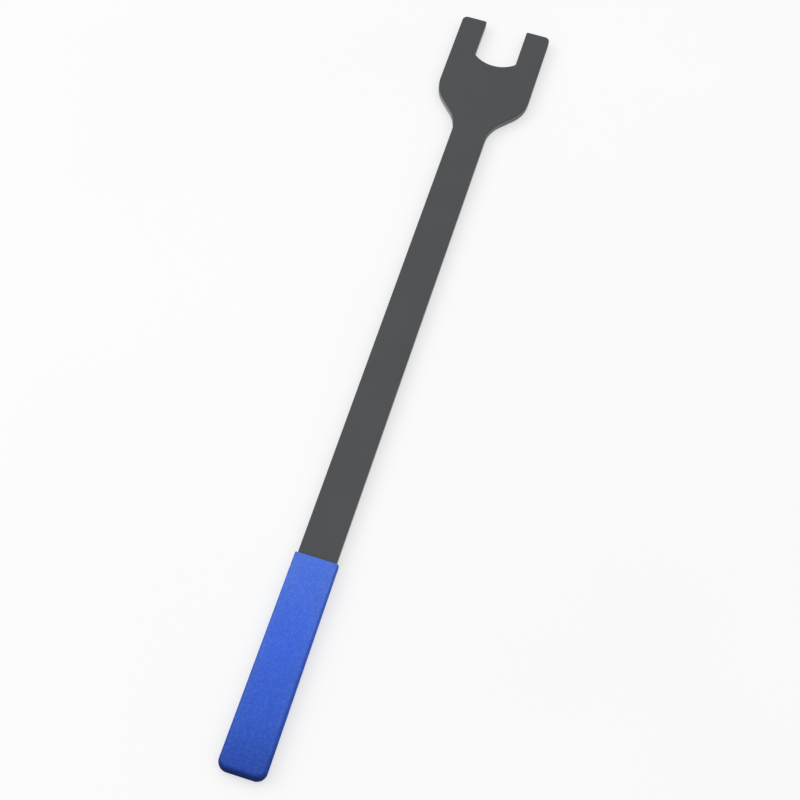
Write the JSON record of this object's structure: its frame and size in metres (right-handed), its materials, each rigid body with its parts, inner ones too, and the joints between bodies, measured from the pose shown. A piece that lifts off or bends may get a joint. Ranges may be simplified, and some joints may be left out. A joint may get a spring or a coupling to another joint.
{
  "type": "fan clutch wrench",
  "caption": "Flat steel open-jaw wrench with a forked head, S-curved neck, long straight shank and a slip-on vinyl grip, for holding the large nut behind an engine's cooling fan.",
  "frame": {"origin": "on the axis of the seated nut, midway between the jaw flats and halfway through the plate, 22 mm behind the prong tips", "axes": "+X out of the jaw between the prong tips, the handle runs along -X; +Y across the jaw; +Z normal to the plate. The wrench lies flat on its grip's underside."},
  "size_m": [0.6096, 0.07, 0.0094],
  "materials": {
    "coated_steel": "dark grey matte coating, softened edges",
    "blue_vinyl": "blue soft vinyl with a fine pebbled grain"
  },
  "bodies": {
    "root": {"fork_bar": "coated_steel", "grip_sleeve": "blue_vinyl"}
  },
  "joints": []
}
